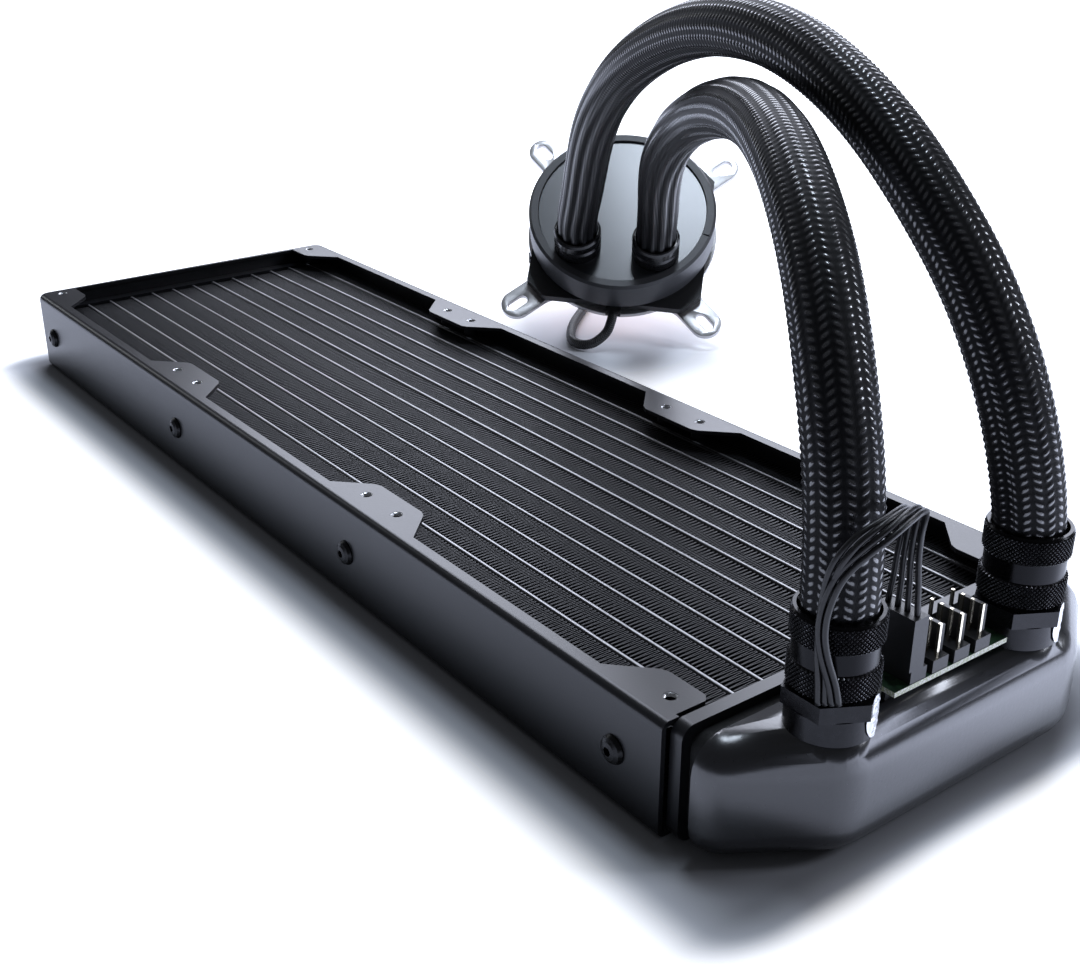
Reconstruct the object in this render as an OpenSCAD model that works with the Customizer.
// All in one liquid cooler for a processor: a three fan radiator, two braided hoses and a
// round pump block. X runs along the radiator towards its tank, Y across it towards the
// pump, Z up. The origin is the centre of the fan screw pattern on the underside.

/* [Radiator] */
// Side of one fan that the radiator carries
fan_size = 120; // [110:1:140]
// Number of fans along the radiator
fan_count = 3; // [2:1:4]
// Distance of the screw holes from the edges of a fan
hole_inset = 7.5; // [7:0.5:9]
// Height of the radiator
rad_h = 28; // [26:0.5:34]
// Thickness of the folded steel casing
sheet_t = 1.2; // [0.8:0.1:1.6]
// Width of the narrow lip along the top and bottom of the casing
lip_w = 4.5; // [3.5:0.1:6]
// Distance from the outer face to the edge of the screw tabs
tab_w = 14; // [12:0.5:16]
// Half length of a screw tab at its root
tab_root = 21; // [18:0.5:24]
// Half length of a screw tab at its inner edge
tab_tip = 11; // [9.5:0.5:13]
// Radius of the tapped screw holes for the fans
fan_hole_r = 1.6; // [1.4:0.05:2]
// Depth of the drawn collars below the screw holes
collar_d = 3.4; // [2:0.1:4]

/* [Core] */
// Depth of the tubes and fins
core_d = 15.2; // [12:0.2:16.4]
// Number of flat tubes
tube_count = 13; // [9:2:15]
// Thickness of a flat tube
tube_t = 1.8; // [1.6:0.1:2.4]
// Wall of a flat tube
tube_wall = 0.4; // [0.3:0.05:0.5]
// Length of one full wave of a corrugated fin
fin_pitch = 6; // [5:0.5:9]
// Thickness of the fin strip
fin_t = 0.3; // [0.2:0.05:0.5]

/* [Tank] */
// Distance from the casing to the painted tank
seam_w = 8.2; // [7:0.5:11]
// Width of the rolled bead of the header plate
bead_w = 3.4; // [2.5:0.1:4.5]
// Length of the tank from the seam to its nose
tank_l = 20.5; // [20:0.5:26]
// Length of the straight side before the slanted corner
tank_shoulder = 4.5; // [4:0.5:8]
// Distance from the side of the tank to its flat nose
tank_cut = 24; // [20:0.5:26]
// Radius along the top and bottom edges of the tank
tank_edge_r = 8; // [5:0.5:9]
// Wall of the tank
tank_wall = 3; // [2:0.25:3.5]

/* [Fittings] */
// Distance of the ports from the seam
port_x = 10.6; // [10.2:0.1:12]
// Distance of the near port from the near side
port_near_in = 26.7; // [25:0.1:28]
// Distance of the far port from the far side
port_far_in = 35.5; // [32:0.1:36]
// Radius of the port thread
port_r = 6; // [5:0.1:6.2]
// Radius of the round foot of a fitting
foot_r = 9; // [8.6:0.1:9.5]
// Height of the round foot
foot_h = 5.4; // [4:0.1:7]
// Width of the hexagon across its flats
hex_af = 17.6; // [17:0.1:18.4]
// Height of the hexagon
hex_h = 3.7; // [3:0.1:5]
// Gap between the hexagon and the locking ring
ring_gap = 0.8; // [0.3:0.1:1.2]
// Radius over the knurls of the locking ring
knurl_r = 9.3; // [9:0.05:9.6]
// Height of one knurled band
knurl_h = 5.6; // [4.5:0.1:6.5]
// Height of the plain band between the knurls
band_h = 5.2; // [4:0.1:6]
// Depth of the knurls
knurl_d = 0.45; // [0.3:0.05:0.6]
// Number of knurls round the ring
knurl_n = 36; // [24:2:40]

/* [Hoses] */
// Diameter over the braided sleeve
hose_d = 15.6; // [14:0.1:16]
// Width of the flat four wire lead
lead_w = 5.2; // [4:0.1:6]
// Thickness of the flat lead
lead_t = 1.4; // [1:0.1:1.8]
// Diameter of the pump's own cable
cable_d = 4; // [3:0.1:4.2]

/* [Fan hub] */
// Distance of the circuit board from the middle of the near port
hub_near = 13.5; // [12.5:0.1:14.5]
// Distance of the circuit board from the middle of the far port
hub_far = 9.5; // [9.3:0.1:11]
// Width of the circuit board
hub_w = 12.6; // [11.5:0.1:13]
// Thickness of the circuit board
hub_t = 1.2; // [1:0.1:2]
// Distance between the fan headers
header_pitch = 6.8; // [6.6:0.1:7.4]
// Distance between the pins of a header
pin_pitch = 2.54; // [2.4:0.02:2.6]
// Length of the pins above the board
pin_h = 10.4; // [9.8:0.1:12]
// Side of a square pin
pin_w = 0.64; // [0.5:0.02:0.8]
// Height of the plug on its lead
plug_h = 14.8; // [13:0.1:16]

/* [Pump block] */
// Half distance between the slots of the mounting bracket
slot_half = 37.5; // [36:0.25:40]
// Half width of a bracket arm
arm_half = 6.2; // [5.5:0.1:7.5]
// Radius of the hollows between the arms and the round middle
arm_fillet = 8.5; // [6:0.5:10]
// Thickness of the bracket
bracket_t = 2; // [1.5:0.1:2.5]
// Half width of a bracket slot
slot_r = 2.1; // [1.8:0.05:2.6]
// Distance between the centres of a slot's round ends
slot_l = 4.4; // [3:0.1:6]
// Outer radius of the turning ring
bezel_r = 37.4; // [36.5:0.1:38.4]
// Height of the turning ring
bezel_h = 14.2; // [12:0.1:16]
// Width of the rim round the glossy cap
rim_w = 3.7; // [3:0.1:5]
// Depth of the cap below the rim
cap_sink = 1; // [0.4:0.1:1.6]
// Thickness of the cap
cap_t = 2; // [1.5:0.1:2.5]
// Half of the angle between the two hose ports
port_turn = 39.3; // [36:0.1:44]
// Thickness of the collars round the hoses
collar_w = 1.4; // [1:0.05:1.6]
// Height of the hose collars above the cap
stub_h = 11.4; // [9:0.1:13]
// Thickness of the copper plate
plate_t = 3; // [2:0.1:4]
// Running clearance of the rotor on its shaft
run_gap = 0.05; // [0.02:0.01:0.1]

/* [Hidden] */
$fn = 48;

// Casing
fan_hole_pitch = fan_size - 2 * hole_inset;
half_l = fan_count * fan_size / 2 - 1;
half_w = fan_size / 2 + 0.5;
bend_r = 2;
corner_r = 4;
end_lip = 3;
core_bottom = (rad_h - core_d) / 2;
return_l = 4.4;
core_x0 = sheet_t + return_l - half_l;
tube_pitch = tube_t + (2 * (half_w - sheet_t) - tube_count * tube_t) / (tube_count + 1);
corner_root = 24.5;
corner_tip = 14.5;
tab_soft = 0.8;
far = 400;
screw_inset = 14.5;
screw_x = [screw_inset - half_l, -fan_size / 2 + 6, fan_size / 2 - 6, half_l - screw_inset];
head_r = 3.4;
head_h = 1.8;

// Tank
tank_nose = half_w - 0.5 - tank_cut;
port_near_y = port_near_in - half_w;
port_far_y = half_w - port_far_in;
port_bore = 4.2;
bead_x = half_l + 0.3;
tube_end_x = bead_x + bead_w;
seam_x = half_l + seam_w;
nose_x = seam_x + tank_l;
bead_inset = 2;
gasket_inset = 4.5;
fit = 0.05;
seat = 0.2;

// Fittings, from the top of the tank up
fitting_x = seam_x + port_x;
hex_z = rad_h + foot_h;
ring_z = hex_z + hex_h + ring_gap;
ring_h = 2 * knurl_h + band_h;
ring_top = ring_z + ring_h;
barb_z = ring_top - 5;
hose_r = hose_d / 2;
hose_room = 0.3;

// Hub on the tank
hub_x = seam_x + 2.8;
hub_y = port_near_y + hub_near;
hub_l = port_far_y - hub_far - hub_y;
pad_h = 2.6;
board_z = rad_h + pad_h;
header_z = board_z + hub_t;
header_l = 4 * pin_pitch;
header_w = 4.8;
header_h = 3;
header_y0 = hub_y + 7;
key_h = 9.2;
header_mid_x = hub_x + hub_w - header_l / 2 - 0.1;

// Pump block, in its own frame: the top of the bracket is its zero
pump_at = [-86, 150.5, 37];
pump_turn = [40.5, 3.5, 45];
flange_h = 3.2;
flange_half = bezel_r - 2.4;
flange_cut = 7;
bezel_z = flange_h + 0.3;
rim_z = bezel_z + bezel_h;
cap_z = rim_z - cap_sink;
cap_r = bezel_r - rim_w - 0.3;
collar_r = hose_r + collar_w;
port_reach = cap_r - collar_r;
port_half = port_reach * sin(port_turn);
port_back = port_reach * cos(port_turn);
bracket_r = bezel_r + 1;
plate_r = bezel_r - 9.9;
plate_screw_r = plate_r - 2.9;
seal_r = plate_r - 7.5;
wet_r = plate_r - 10.5;
wet_half = wet_r * 0.65;
shell_r = cap_r - 1.2;
shell_w = 1.4;
boss_r = plate_r + 1.1;
plate_z = -bracket_t - 1.6;
stub_r = 6;
stub_top = cap_z + stub_h;
waist_h = 5.4;
chamber_z = -1.4;
stator_r = port_reach - stub_r - 1.8;
can_r = stator_r * 0.54;
rotor_r = can_r * 0.86;
chamber_r = can_r * 1.36;
hub_r = can_r * 0.5;
board_h = cap_z - cap_t - 3;
gland_out = bracket_r + 0.8;

// Cord routes: round numbers along the middle of each cord
hose_outer_path = [[197.5, 25, 56], [195, 24, 68], [191, 23.5, 80],
    [184, 23.5, 93], [175, 24, 105], [163, 25, 116], [148, 27.5, 127.5], [129, 31.5, 136.5],
    [107, 37, 142.5], [84, 43.5, 143], [62, 50.5, 140], [41, 58, 134], [21, 65.5, 126.5],
    [2, 73, 117], [-16, 81, 105], [-32, 90, 92], [-47, 100, 78], [-61, 109, 62]];
hose_inner_path = [[197.5, -33.5, 58], [196, -32.5, 71], [191, -29.5, 85],
    [183, -25, 98], [172, -17.5, 110.5], [156, -7.5, 121], [137, 5.5, 126.5],
    [117, 19, 127.5], [97, 32, 125.5], [78, 44.5, 121.5], [59, 57, 116.5],
    [41, 69, 110.5], [22, 81, 103.5], [5, 93, 95], [-12, 105, 85], [-27, 117, 73],
    [-40, 129, 59]];
lead_path = [[197.4, -14.2, 52], [197.4, -14.5, 58], [198.6, -15.8, 65],
    [201.2, -18.8, 70.5], [204.5, -24, 74], [207, -30, 75.5], [207.5, -35.5, 74.5],
    [205.8, -40, 71], [203.8, -42.6, 66], [202.8, -43.6, 60], [202.6, -43.8, 54],
    [203, -43.3, 48.5], [203.8, -42.5, 43], [204.3, -42.1, 38.6]];
cable_path = [[-62.6, 126, 10.4], [-61.4, 123.2, 7.4], [-61.8, 120, 4.9], [-63.4, 117.2, 3],
    [-66.2, 114.9, 2.2], [-70, 114.2, 2.1], [-74, 115.4, 2.1], [-79, 118.8, 2.1],
    [-85, 124, 2.1], [-91, 130, 2.1], [-97, 137, 2.1], [-103, 144.5, 2.1],
    [-109, 152.5, 2.1], [-115, 161, 2.1], [-120.5, 170.5, 2.1], [-124.5, 181, 2.1],
    [-127.3, 192, 2.1], [-128, 203, 2.1]];
tail_path = [[-172, 205, 5.9], [-172.6, 200, 5.6], [-174, 195, 4.4], [-175.1, 190.5, 2.9],
    [-175.3, 188, 2.5], [-175.3, 186, 2.5]];
coil_at = [-150, 205, 0];
coil_r = 22;
coil_turns = 2;

// Places the children in the frame of the pump block
module at_pump() {
    translate(pump_at) rotate(pump_turn) children();
}

// Rectangle with round corners, from one corner
module soft_square(size, r) {
    translate([r, 0]) square([size[0] - 2 * r, size[1]]);
    translate([0, r]) square([size[0], size[1] - 2 * r]);
    for (x = [r, size[0] - r], y = [r, size[1] - r]) translate([x, y]) circle(r);
}

// Flat oval, long along Y
module oval(w, l) {
    translate([-w / 2, w / 2 - l / 2]) square([w, l - w]);
    for (s = [-1, 1]) translate([0, s * (l - w) / 2]) circle(w / 2, $fn = 24);
}

// Centres of the screw holes of every fan
function fan_holes() = [for (i = [0:fan_count - 1], s = [-1, 1], t = [-1, 1])
    [(i - (fan_count - 1) / 2) * fan_size + s * fan_hole_pitch / 2, t * fan_hole_pitch / 2]];

// Section of the casing wall, standing on y = 0 with its lips towards +Y
module wall_section(lip) {
    intersection() {
        difference() {
            soft_square([40, rad_h], bend_r);
            translate([sheet_t, sheet_t])
                soft_square([40, rad_h - 2 * sheet_t], bend_r - sheet_t);
        }
        square([lip, rad_h]);
    }
}

// One screw tab of the long lip, centred on x = 0
module mid_tab() {
    polygon([[-tab_root, bend_r], [-tab_root, lip_w], [-tab_tip - 1, tab_w - tab_soft],
             [-tab_tip + 1, tab_w], [tab_tip - 1, tab_w], [tab_tip + 1, tab_w - tab_soft],
             [tab_root, lip_w], [tab_root, bend_r]]);
}

// The corner tab, measured from the corner of the casing, growing towards +X and +Y
module corner_tab(end_cut) {
    polygon([[end_cut, corner_r], [corner_r, corner_r], [corner_r, bend_r], [corner_root, bend_r],
             [corner_root, lip_w], [corner_tip + 1, tab_w - tab_soft], [corner_tip - 1, tab_w],
             [end_cut + 1.5, tab_w], [end_cut, tab_w - 1.5]]);
}

// Flat face of tabs at one side of the casing
module tab_layer() {
    for (t = [-1, 1]) {
        for (i = [1:fan_count - 1])
            translate([(i - fan_count / 2) * fan_size, t * half_w])
                mirror([0, t > 0 ? 1 : 0]) mid_tab();
        translate([-half_l, -t * half_w]) mirror([0, t < 0 ? 1 : 0]) corner_tab(bend_r);
        translate([half_l, -t * half_w]) mirror([0, t < 0 ? 1 : 0]) mirror([1, 0])
            corner_tab(1);
    }
}

// Folded steel casing: two side channels and the far end wall in one sheet
module casing() {
    color("#1d1e22") difference() {
        union() {
            for (t = [-1, 1])
                translate([corner_r - half_l, t * half_w, 0]) rotate([90, 0, 90])
                    mirror([t > 0 ? 1 : 0, 0]) linear_extrude(2 * half_l - corner_r)
                        wall_section(lip_w);
            translate([-half_l, half_w - corner_r, 0]) rotate([90, 0, 0])
                linear_extrude(2 * (half_w - corner_r)) wall_section(end_lip);
            for (t = [-1, 1])
                translate([corner_r - half_l, t * (half_w - corner_r), 0])
                    rotate([0, 0, t > 0 ? 90 : 180]) rotate_extrude(angle = 90)
                        translate([corner_r, 0]) mirror([1, 0]) wall_section(corner_r);
            for (z = [0, rad_h - sheet_t]) translate([0, 0, z])
                linear_extrude(sheet_t) tab_layer();
            for (h = fan_holes(), z = [sheet_t, rad_h - sheet_t - collar_d])
                translate([h[0], h[1], z]) cylinder(r = fan_hole_r + 0.9, h = collar_d);
        }
        for (h = fan_holes(), z = [-1, rad_h - sheet_t - collar_d - 1])
            translate([h[0], h[1], z]) cylinder(r = fan_hole_r, h = sheet_t + collar_d + 2);
        for (x = screw_x, t = [-1, 1])
            translate([x, t * half_w, rad_h / 2]) rotate([90, 0, 0])
                cylinder(r = 1.6, h = 6, center = true);
    }
}

// Button head screws that hold the casing to the core, with their hexagon sockets
module side_screws() {
    color("#101012") for (x = screw_x, t = [-1, 1])
        translate([x, t * half_w, rad_h / 2]) rotate([t > 0 ? -90 : 90, 0, 0])
            difference() {
                union() {
                    rotate_extrude() polygon([[0, 0], [head_r, 0], [head_r, 0.3],
                        [head_r - 0.5, 1.1], [head_r - 1.4, 1.6], [head_r - 2.2, head_h],
                        [0, head_h]]);
                    translate([0, 0, -sheet_t]) cylinder(r = 1.5, h = sheet_t);
                }
                translate([0, 0, head_h - 1.3]) cylinder(r = 1.15, h = 2, $fn = 6);
            }
}

function tube_y(i) = (i - (tube_count - 1) / 2) * tube_pitch;

// Flat tubes, hollow and open at both ends
module flat_tubes() {
    color("#9a9da2") for (i = [0:tube_count - 1])
        translate([core_x0, tube_y(i), rad_h / 2]) rotate([90, 0, 90])
            linear_extrude(tube_end_x - core_x0) difference() {
                oval(tube_t, core_d);
                oval(tube_t - 2 * tube_wall, core_d - 2 * tube_wall);
            }
}

// Outline of one corrugated strip: up one side of the wave and back along the other
function wave(n, w) = [for (k = [0:n - 1], p = [[0.08, 0], [0.42, 0], [0.58, 1], [0.92, 1]])
    [(k + p[0]) * fin_pitch, p[1] * w]];
module fin_strip(w, l) {
    n = floor(l / fin_pitch);
    line = wave(n, w - fin_t);
    last = len(line) - 1;
    polygon(concat([for (p = line) p], [for (k = [last:-1:0]) line[k] + [0, fin_t]]));
}

// Corrugated fins, one strip between each pair of tubes and one outside each end tube
module fin_strips() {
    w = tube_pitch - tube_t;
    l = tube_end_x - bead_w - core_x0 - 1;
    color("#2b2d30") for (i = [0:tube_count])
        translate([core_x0 + 1, tube_y(i - 0.5) - w / 2, core_bottom + 0.4])
            linear_extrude(core_d - 0.8) fin_strip(w, l);
}

// Closed tank at the far end that turns the coolant back
module return_tank() {
    w = tube_count * tube_pitch + 1;
    color("#1b1c1f") translate([sheet_t - half_l, -w / 2, core_bottom - 0.4]) difference() {
        cube([return_l, w, core_d + 0.8]);
        translate([1, 1, 1]) cube([return_l, w - 2, core_d - 1.2]);
    }
}

// Header plate with its rolled bead and one slot for each tube
module header_plate() {
    w = 2 * (half_w - bead_inset);
    color("#2a2b2f") difference() {
        translate([bead_x, -w / 2, 0]) rotate([90, 0, 90])
            linear_extrude(bead_w) soft_square([w, rad_h], bead_w);
        for (i = [0:tube_count - 1])
            translate([bead_x - 1, tube_y(i), rad_h / 2]) rotate([90, 0, 90])
                linear_extrude(bead_w + 2) oval(tube_t + 2 * fit, core_d + 2 * fit);
    }
}

// Rubber gasket in the groove between header plate and tank
module tank_gasket() {
    w = 2 * (half_w - gasket_inset);
    h = rad_h - gasket_inset;
    color("#0b0b0c") translate([tube_end_x, 0, rad_h / 2]) rotate([90, 0, 90])
        linear_extrude(seam_x - tube_end_x) difference() {
            translate([-w / 2, -h / 2]) soft_square([w, h], 4);
            translate([3 - w / 2, 3 - h / 2]) soft_square([w - 6, h - 6], 2);
        }
}

// Upright puck with large rounds at both edges, used at the corners of the tank
module tank_puck(r) {
    e = tank_edge_r;
    rotate_extrude($fn = 32) polygon(concat([[0, 0]],
        [for (a = [-90:18:0]) [r - e + e * cos(a), e + e * sin(a)]],
        [for (a = [0:15:90]) [r - e + e * cos(a), rad_h - e + e * sin(a)]],
        [[0, rad_h]]));
}

// Painted end tank with a round boss under each port, hollow and split by a rib into inlet
// and outlet
module end_tank() {
    r1 = tank_edge_r + 1;
    r2 = 14;
    room = half_w - 2.5 - 2 * tank_wall;
    slant = atan2(half_w - 0.5 - tank_nose, tank_l - tank_shoulder);
    x1 = seam_x + tank_shoulder - r1 * tan(slant / 2);
    x2 = nose_x - r2;
    y1 = half_w - 0.5 - r1;
    y2 = tank_nose - r2 * tan((90 - slant) / 2);
    color("#17181b") difference() {
        union() {
            hull() for (t = [-1, 1]) {
                translate([x1, t * y1, 0]) tank_puck(r1);
                translate([x1 - 12, t * y1, 0]) tank_puck(r1);
                translate([x2, t * y2, 0]) tank_puck(r2);
            }
            for (y = [port_near_y, port_far_y])
                translate([fitting_x, y, rad_h - tank_edge_r]) cylinder(r = foot_r - 0.4,
                    h = tank_edge_r);
        }
        translate([seam_x - far, -far / 2, -far / 2]) cube(far);
        for (t = [0, 1]) mirror([0, t, 0]) translate([seam_x - 1, 1.5, tank_wall])
            linear_extrude(rad_h - 2.4 * tank_wall) polygon([[0, 0], [0, room],
                [tank_shoulder, room], [tank_l - tank_wall, tank_nose - tank_wall],
                [tank_l - tank_wall, 0]]);
        for (y = [port_near_y, port_far_y])
            translate([fitting_x, y, rad_h - 10]) cylinder(r = port_r, h = 11);
    }
}

// Fitting screwed into the tank: thread, round foot, hexagon, neck and barb
module fitting_body(y) {
    color("#101113") translate([fitting_x, y, 0]) difference() {
        union() {
            translate([0, 0, rad_h - 5]) cylinder(r = port_r - fit, h = 5.5);
            translate([0, 0, rad_h]) cylinder(r = foot_r, h = foot_h);
            translate([0, 0, hex_z]) cylinder(d = hex_af / cos(30), h = hex_h, $fn = 6);
            translate([0, 0, hex_z]) cylinder(r = hose_r, h = barb_z - hex_z);
        }
        translate([0, 0, rad_h - 6]) cylinder(r = port_bore, h = far);
        translate([0, 0, rad_h - 0.5]) difference() {
            cylinder(r = 8.1, h = 1.7);
            translate([0, 0, -1]) cylinder(r = 6.7, h = 4);
        }
    }
}
module fitting_body_near() { fitting_body(port_near_y); }
module fitting_body_far() { fitting_body(port_far_y); }

// Rubber seals in the grooves under the feet of the fittings
module port_seals() {
    color("#0a0a0a") for (y = [port_near_y, port_far_y])
        translate([fitting_x, y, rad_h + 0.6]) rotate_extrude() translate([7.4, 0])
            circle(0.6, $fn = 16);
}

// Rows of the locking ring from the foot of its bore, out, up and back down the bore:
// radius, height and whether the row is cut into diamonds
function knurl_rows(z0, rows) = [for (j = [0:2 * rows])
    [knurl_r, z0 + 0.5 + j * (knurl_h - 1) / (2 * rows), 1]];
function ring_rows() = concat(
    [[hose_r + hose_room, 0, 0], [knurl_r - 0.8, 0, 0]],
    knurl_rows(0, 3),
    [[knurl_r - 0.7, knurl_h, 0], [knurl_r - 0.7, knurl_h + band_h, 0]],
    knurl_rows(knurl_h + band_h, 3),
    [[knurl_r - 0.3, ring_h, 0], [hose_r + hose_room, ring_h, 0]]);

// Knurled locking ring: every other point of a knurled row stands proud, so the pits and
// peaks form diamonds
module locking_ring(y) {
    rows = ring_rows();
    cols = 2 * knurl_n;
    points = [for (j = [0:len(rows) - 1], i = [0:cols - 1])
        let (r = rows[j][0] - rows[j][2] * knurl_d * ((i + j) % 2), a = 360 * i / cols)
        [r * cos(a), r * sin(a), rows[j][1]]];
    n = len(rows);
    faces = [for (j = [0:n - 1], i = [0:cols - 1])
        let (a = j * cols + i, b = j * cols + (i + 1) % cols,
             c = (j + 1) % n * cols + (i + 1) % cols, d = (j + 1) % n * cols + i)
        each (i + j) % 2 == 0 ? [[a, d, b], [b, d, c]] : [[a, c, b], [a, d, c]]];
    color("#141518") translate([fitting_x, y, ring_z]) polyhedron(points, faces);
}
module locking_ring_near() { locking_ring(port_near_y); }
module locking_ring_far() { locking_ring(port_far_y); }

// Oval foils that bridge the foot and the hexagon of each fitting
module foil_seals() {
    reach = max(foot_r, hex_af / 2) + 0.1;
    tall = foot_h + hex_h + 0.4;
    color("#c9c9c6") for (y = [port_near_y, port_far_y])
        translate([fitting_x, y, rad_h + 0.1 + tall / 2]) rotate([0, 0, 30])
            translate([reach, 0, 0]) rotate([90, 0, 90]) linear_extrude(0.2) oval(5.6, tall);
}

// Foam pad that holds the board on the tank
module hub_pad() {
    color("#0d0d0e") translate([hub_x + 1, hub_y + 1, rad_h])
        cube([hub_w - 4, hub_l - 3, pad_h]);
}

// Bare circuit board of the fan hub
module hub_board() {
    color("#9fa77c") translate([hub_x, hub_y, board_z]) cube([hub_w, hub_l, hub_t]);
}

function header_y(i) = header_y0 + i * header_pitch;

// Four fan headers with their locking keys
module fan_headers() {
    color("#1a1a1c") for (i = [0:3])
        translate([header_mid_x - header_l / 2, header_y(i), header_z]) difference() {
            union() {
                translate([0, -header_w / 2, 0]) cube([header_l, header_w, header_h]);
                translate([pin_pitch * 0.7, header_w / 2 - 1, 0])
                    cube([header_l - pin_pitch * 1.4, 1, key_h]);
            }
            for (k = [0:3]) translate([(k + 0.5) * pin_pitch - pin_w / 2, -pin_w / 2, -1])
                cube([pin_w, pin_w, header_h + 2]);
        }
}

// Square pins of the headers
module header_pins() {
    color("#d8cfa8") for (i = [0:3], k = [0:3])
        translate([header_mid_x - header_l / 2 + (k + 0.5) * pin_pitch, header_y(i), header_z])
            translate([-pin_w / 2, -pin_w / 2, 0]) cube([pin_w, pin_w, pin_h]);
}

// Plug on the flat lead, hollow over the pins of the first header
module lead_plug() {
    color("#08080a") translate([header_mid_x, header_y(0), header_z + header_h])
        difference() {
            translate([-header_l / 2, -3.1, 0]) cube([header_l, 4.3, plug_h - header_h]);
            for (k = [0:3]) translate([(k - 1.5) * pin_pitch - 0.6, -0.6, -1])
                cube([1.2, 1.2, pin_h - header_h + 1.6]);
        }
}

// Unit direction of a route at its point i
function dir(path, i) = let (a = path[max(i - 1, 0)], b = path[min(i + 1, len(path) - 1)])
    (b - a) / norm(b - a);

// Closed tube along a route: an oval of width w and thickness t, turned by roll about the
// route, with n sides
module cord(path, w, t, n, side) {
    last = len(path) - 1;
    points = [for (i = [0:last]) let (d = dir(path, i), u0 = cross(d, side),
            u = u0 / norm(u0), v = cross(d, u))
        for (k = [0:n - 1]) path[i] + u * t / 2 * cos(360 * k / n) + v * w / 2 * sin(360 * k / n)];
    walls = [for (i = [0:last - 1], k = [0:n - 1]) let (a = i * n, b = (k + 1) % n)
        each [[a + k, a + b, a + n + k], [a + b, a + n + b, a + n + k]]];
    polyhedron(points, concat(walls, [[for (k = [n - 1:-1:0]) k],
        [for (k = [0:n - 1]) last * n + k]]));
}

// Point of the pump block's frame, in the frame of the whole object
function turned(p) = let (a = pump_turn[0], b = pump_turn[1], c = pump_turn[2],
    y1 = p[1] * cos(a) - p[2] * sin(a), z1 = p[1] * sin(a) + p[2] * cos(a),
    x2 = p[0] * cos(b) + z1 * sin(b), z2 = z1 * cos(b) - p[0] * sin(b))
    [x2 * cos(c) - y1 * sin(c), x2 * sin(c) + y1 * cos(c), z2];
function pump_point(p) = pump_at + turned(p);

// Braided hoses: from the fittings, over, and straight into the collars of the pump
function barb_line(y) = [for (k = [0, 1.5]) [fitting_x, y, barb_z + k]];
function hose_end(side) = [for (h = [stub_top + 9, stub_top + 1, stub_top - waist_h])
    pump_point([side * port_half, -port_back, h])];
module hose_outer() {
    color("#1c1d1f") cord(concat(barb_line(port_far_y), hose_outer_path, hose_end(-1)),
        hose_d, hose_d, 12, [1, 0, 0.3]);
}
module hose_inner() {
    color("#1c1d1f") cord(concat(barb_line(port_near_y), hose_inner_path, hose_end(1)),
        hose_d, hose_d, 12, [1, 0, 0.3]);
}

// Flat four wire lead from the plug to the foot of the near fitting
module hub_lead() {
    color("#0f0f10") cord(concat([[197.4, -14.2, header_z + plug_h]], lead_path), lead_w, lead_t, 8,
        [0.77, 0.64, 0]);
}

// Polished steel bracket with four slotted arms
module mount_bracket() {
    reach = slot_half * sqrt(2);
    hub = sqrt(pow(bracket_r + arm_fillet, 2) - pow(arm_half + arm_fillet, 2));
    color("#b9bbbd") at_pump() translate([0, 0, -bracket_t]) linear_extrude(bracket_t)
        difference() {
            union() {
                circle(bracket_r, $fn = 96);
                for (a = [45:90:315]) rotate(a) {
                    translate([20, -arm_half]) square([reach - 19.4, 2 * arm_half]);
                    translate([reach + 0.6, 0]) circle(arm_half);
                    for (t = [0, 1]) mirror([0, t]) difference() {
                        polygon([[20, 0], [hub, 0], [hub, arm_half],
                            [hub, arm_half + arm_fillet],
                            [hub, arm_half + arm_fillet] * (bracket_r - 0.2) /
                                (bracket_r + arm_fillet)]);
                        translate([hub, arm_half + arm_fillet]) circle(arm_fillet);
                    }
                }
            }
            circle(boss_r + 0.2, $fn = 96);
            for (a = [45:90:315]) rotate(a) translate([reach, 0]) rotate(90)
                oval(2 * slot_r, slot_l + 2 * slot_r);
        }
}

// Copper base plate with skived fins on its wet side
module copper_plate() {
    color("#b4744a") at_pump() translate([0, 0, plate_z]) difference() {
        union() {
            translate([0, 0, -plate_t]) cylinder(r = plate_r, h = plate_t, $fn = 96);
            translate([-wet_half, -wet_half, 0]) cube([2 * wet_half, 2 * wet_half, 1.4]);
        }
        for (i = [-5:5]) translate([i * wet_half / 5.5 - 0.4, -plate_r, 0])
            cube([0.8, 2 * plate_r, 2]);
        for (a = [22.5:45:360]) rotate([0, 0, a]) translate([plate_screw_r, 0, -plate_t - 1]) {
            cylinder(r = 1.15, h = plate_t + 2);
            cylinder(r = 2.3, h = 2.4);
        }
    }
}

// Screws of the copper plate, sunk into its face
module plate_screws() {
    color("#6f6f72") at_pump() for (a = [22.5:45:360]) rotate([0, 0, a])
        translate([plate_screw_r, 0, plate_z - plate_t + 0.2]) difference() {
            union() {
                cylinder(r = 2.1, h = 1.2);
                cylinder(r = 1.1, h = plate_t + 1.8);
            }
            translate([0, 0, -1]) cylinder(r = 0.8, h = 1.6, $fn = 6);
        }
}

// Rubber seal between copper plate and pump base
module plate_seal() {
    color("#0a0a0a") at_pump() translate([0, 0, plate_z + 0.5]) rotate_extrude()
        translate([seal_r, 0]) circle(0.5, $fn = 16);
}

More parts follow.
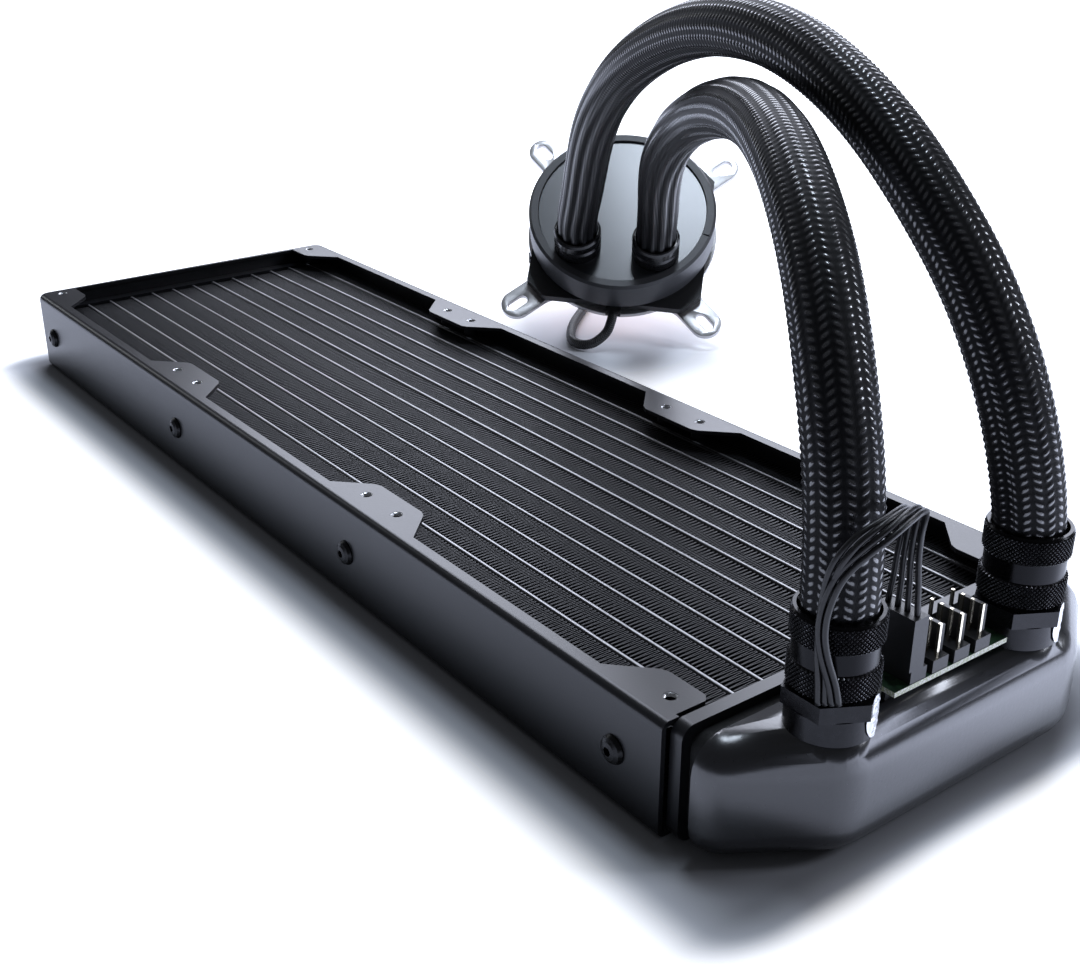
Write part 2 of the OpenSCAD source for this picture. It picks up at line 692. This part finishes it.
// Moulded pump base: eight sided flange over the bracket, boss through it, wet chambers
module pump_base() {
    f = flange_half;
    c = flange_half - flange_cut;
    color("#141416") at_pump() difference() {
        union() {
            linear_extrude(flange_h) polygon([[f, -c], [f, c], [c, f], [-c, f], [-f, c],
                [-f, -c], [-c, -f], [c, -f]]);
            translate([0, 0, plate_z]) cylinder(r = boss_r, h = -plate_z, $fn = 96);
            linear_extrude(6) intersection() {
                circle(shell_r - shell_w - 0.3, $fn = 96);
                for (s = [-1, 1]) translate([s * port_half, -port_back]) circle(stub_r + 1.6);
            }
            rotate_extrude() polygon([[can_r + 0.1, flange_h - 1], [can_r + 2.6, flange_h - 1],
                [can_r + 2.6, flange_h + 1], [can_r + 0.1, flange_h + 1]]);
        }
        translate([0, 0, chamber_z]) cylinder(r = chamber_r, h = 3.2);
        cylinder(r = can_r, h = far);
        translate([0, 0, plate_z - 1]) cylinder(r = wet_r, h = 1 + 1.6);
        translate([0, 0, plate_z - 1]) cylinder(r = 2.2, h = 6);
        translate([0, 0, plate_z - 1]) difference() {
            cylinder(r = seal_r + 0.6, h = 2);
            cylinder(r = seal_r - 0.6, h = 3);
        }
        for (a = [22.5:45:360]) rotate([0, 0, a]) translate([plate_screw_r, 0, plate_z - 1])
            cylinder(r = 1.15, h = 3);
        translate([-5, -far - flange_half + 4.4, 0.2]) cube([12.2, far, flange_h]);
        for (s = [-1, 1]) translate([s * port_half, -port_back, -1.2]) {
            cylinder(r = port_bore, h = 2);
            translate([0, 0, 1.2]) cylinder(r = stub_r + fit, h = 12);
            rotate([0, 0, atan2(port_back, -s * port_half)]) translate([0, -1.6, 0])
                cube([port_reach - can_r, 3.2, 2.4]);
        }
    }
}

// Round shell that the ring turns on and that carries the cap
module pump_shell() {
    color("#161618") at_pump() difference() {
        translate([0, 0, flange_h]) cylinder(r = shell_r, h = cap_z - cap_t - flange_h, $fn = 96);
        translate([0, 0, flange_h - 1]) cylinder(r = shell_r - shell_w, h = far, $fn = 96);
    }
}

// Ring that turns to choose the way the pump is driven, stopped below the cap
module turning_ring() {
    low_r = shell_r + run_gap;
    color("#2a2b2e") at_pump() difference() {
        rotate_extrude($fn = 128) polygon([[low_r, bezel_z], [bezel_r - 1, bezel_z],
            [bezel_r, bezel_z + 1], [bezel_r, rim_z - 1], [bezel_r - 1, rim_z],
            [cap_r + 0.3, rim_z], [cap_r + 0.3, cap_z - cap_t - 0.3],
            [low_r, cap_z - cap_t - 0.3]]);
        rotate([0, 0, -14.4]) translate([bezel_r - 3.2, -0.4, rim_z - 0.4]) cube([4, 0.8, 1]);
    }
}

// Glossy cap with two round openings for the hose stubs
module pump_cap() {
    color("#3c4046") at_pump() translate([0, 0, cap_z - cap_t]) difference() {
        cylinder(r = cap_r, h = cap_t, $fn = 128);
        for (s = [-1, 1]) translate([s * port_half, -port_back, -1])
            cylinder(r = stub_r + 0.4, h = cap_t + 2);
    }
}

// Hose stub: a hollow spigot into the base, a round body on the cap, a barb in the hose
module hose_stub(s) {
    color("#0e0e10") at_pump() translate([s * port_half, -port_back, 0]) difference() {
        union() {
            translate([0, 0, 1.4]) cylinder(r = stub_r, h = cap_z);
            translate([0, 0, cap_z]) rotate_extrude() polygon([[0, 0], [collar_r - 0.4, 0],
                [collar_r, 0.8], [collar_r, stub_h - waist_h - 0.9],
                [collar_r - 0.8, stub_h - waist_h], [0, stub_h - waist_h]]);
        }
        cylinder(r = port_bore, h = far);
    }
}
module stub_left() { hose_stub(-1); }
module stub_right() { hose_stub(1); }

// Rubber seals round the stubs, in the pump base
module stub_seals() {
    color("#0a0a0a") at_pump() for (s = [-1, 1]) translate([s * port_half, -port_back, 0.7])
        rotate_extrude() translate([5.2, 0]) circle(0.7, $fn = 16);
}

// Crimped collar that holds the braid on a stub
module hose_collar(s) {
    color("#1b1b1e") at_pump() translate([s * port_half, -port_back, stub_top - waist_h])
        rotate_extrude() polygon([[hose_r + hose_room, 0], [collar_r - 0.7, 0],
            [collar_r, 0.9], [collar_r, waist_h - 1.4], [collar_r - 0.5, waist_h - 0.4],
            [collar_r - 1, waist_h], [hose_r + hose_room, waist_h]]);
}
module hose_collar_left() { hose_collar(-1); }
module hose_collar_right() { hose_collar(1); }

// Thin can that keeps the coolant off the stator
module rotor_can() {
    color("#3a3b3e") at_pump() rotate_extrude() polygon([[can_r, flange_h - 1.3], [can_r,
        board_h - 1], [0, board_h - 1], [0, board_h - 1.8], [can_r - 0.8, board_h - 1.8],
        [can_r - 0.8, flange_h - 1.3]]);
}

// Ceramic shaft of the rotor, between the can and the base
module rotor_shaft() {
    color("#e8e4da") at_pump() translate([0, 0, -0.8]) cylinder(r = 1, h = board_h - 1);
}

// One curved blade of the impeller, as an arc from the eye outwards
module blade() {
    arc = [for (a = [0:15:75]) [3.4 + 4 * (1 - cos(a)) + a / 40, 4.6 * sin(a)]];
    back = [for (k = [len(arc) - 1:-1:0]) arc[k] + [-0.5, 0.5]];
    polygon(concat(arc, back));
}

// Impeller: disc with a hub for the magnet, and curved blades in the wet chamber
module impeller() {
    color("#d9d9d4") at_pump() difference() {
        union() {
            translate([0, 0, 0.6]) cylinder(r = chamber_r - 1.6, h = 0.9);
            translate([0, 0, 1.4]) cylinder(r = hub_r, h = board_h - 5.2);
            translate([0, 0, -1]) linear_extrude(1.8) for (a = [0:60:300]) rotate(a) blade();
        }
        translate([0, 0, -2]) cylinder(r = 1 + run_gap, h = far);
    }
}

// Ring magnet pressed on the hub of the impeller
module rotor_magnet() {
    color("#4c4c50") at_pump() translate([0, 0, 1.6]) difference() {
        cylinder(r = rotor_r, h = board_h - 5.6);
        translate([0, 0, -1]) cylinder(r = hub_r + fit, h = far);
    }
}

// Laminated stator with six poles round the can
module stator_core() {
    color("#7b7d82") at_pump() translate([0, 0, flange_h + 2])
        linear_extrude(board_h - flange_h - 4) difference() {
            circle(stator_r, $fn = 96);
            difference() {
                circle(stator_r - 1.8, $fn = 96);
                circle(can_r + 1.2);
                for (a = [0:60:300]) rotate(a) translate([can_r, -1]) square([stator_r - can_r, 2]);
            }
            circle(can_r + 0.2);
        }
}

// Copper coils wound round the poles
module stator_coils() {
    color("#a4582c") at_pump() for (a = [0:60:300]) rotate([0, 0, a])
        translate([can_r + 1.6, 0, flange_h + 1]) difference() {
            translate([0, -2.2, 0]) cube([3.6, 4.4, board_h - flange_h - 2]);
            translate([-1, -1.05, 0.95]) cube([6, 2.1, board_h - flange_h - 3.9]);
        }
}

// Drive board above the stator
module drive_board() {
    color("#21543a") at_pump() translate([0, 0, board_h]) difference() {
        cylinder(r = shell_r - shell_w - 0.3, h = 1.4, $fn = 96);
        for (s = [-1, 1]) translate([s * port_half, -port_back, -1])
            cylinder(r = stub_r + 1, h = 4);
        translate([-4, -shell_r, -1]) cube([8, 4, 4]);
    }
}

// Cable gland in the edge of the flange, under the ring
module cable_gland() {
    color("#0c0c0e") at_pump() translate([1.1, 0, 0.2]) difference() {
        union() {
            translate([-6, -flange_half, 0]) cube([12, 4.4, flange_h - 0.2]);
            translate([-3, -gland_out, 0]) cube([6, 6, flange_h - 0.2]);
        }
        translate([-2, 2.6 - flange_half, 1]) cube([4, 3, 1.2]);
    }
}

// Cable of the pump: down to the floor in front, back below the block to its coil, and the
// short tail from the coil to the plug
module pump_cable() {
    start = [for (k = [0, 1.4]) pump_point([1.1, -gland_out - k, 1.8])];
    color("#111113") {
        cord(concat(start, cable_path), cable_d, cable_d, 8, [0.2, 0.1, 1]);
        cord(tail_path, cable_d - 0.2, cable_d - 0.2, 8, [1, 0, 0.2]);
    }
}

// Outer shape of the neat coil of spare cable behind the block
module cable_coil() {
    color("#111113") translate(coil_at + [0, 0, 0.1]) rotate_extrude() translate([coil_r, 0])
        translate([-cable_d / 2, 0]) soft_square([cable_d, coil_turns * cable_d - 0.3], 1.8);
}

// Four pin plug on the end of the tail, beside the coil
module cable_plug() {
    end = tail_path[len(tail_path) - 1];
    w = 4 * pin_pitch;
    l = 13.4;
    color("#0a0a0c") translate([end[0] - w / 2, end[1] - l, 0]) difference() {
        cube([w, l, 5]);
        for (k = [0:3]) translate([(k + 0.5) * pin_pitch - 0.6, -1, 1.9]) cube([1.2, 9, 1.2]);
    }
}

casing();
side_screws();
flat_tubes();
fin_strips();
return_tank();
header_plate();
tank_gasket();
end_tank();
fitting_body_near();
fitting_body_far();
port_seals();
locking_ring_near();
locking_ring_far();
foil_seals();
hub_pad();
hub_board();
fan_headers();
header_pins();
lead_plug();
hub_lead();
hose_outer();
hose_inner();
mount_bracket();
copper_plate();
plate_screws();
plate_seal();
pump_base();
pump_shell();
turning_ring();
pump_cap();
stub_left();
stub_right();
stub_seals();
hose_collar_left();
hose_collar_right();
rotor_can();
rotor_shaft();
impeller();
rotor_magnet();
stator_core();
stator_coils();
drive_board();
cable_gland();
pump_cable();
cable_coil();
cable_plug();
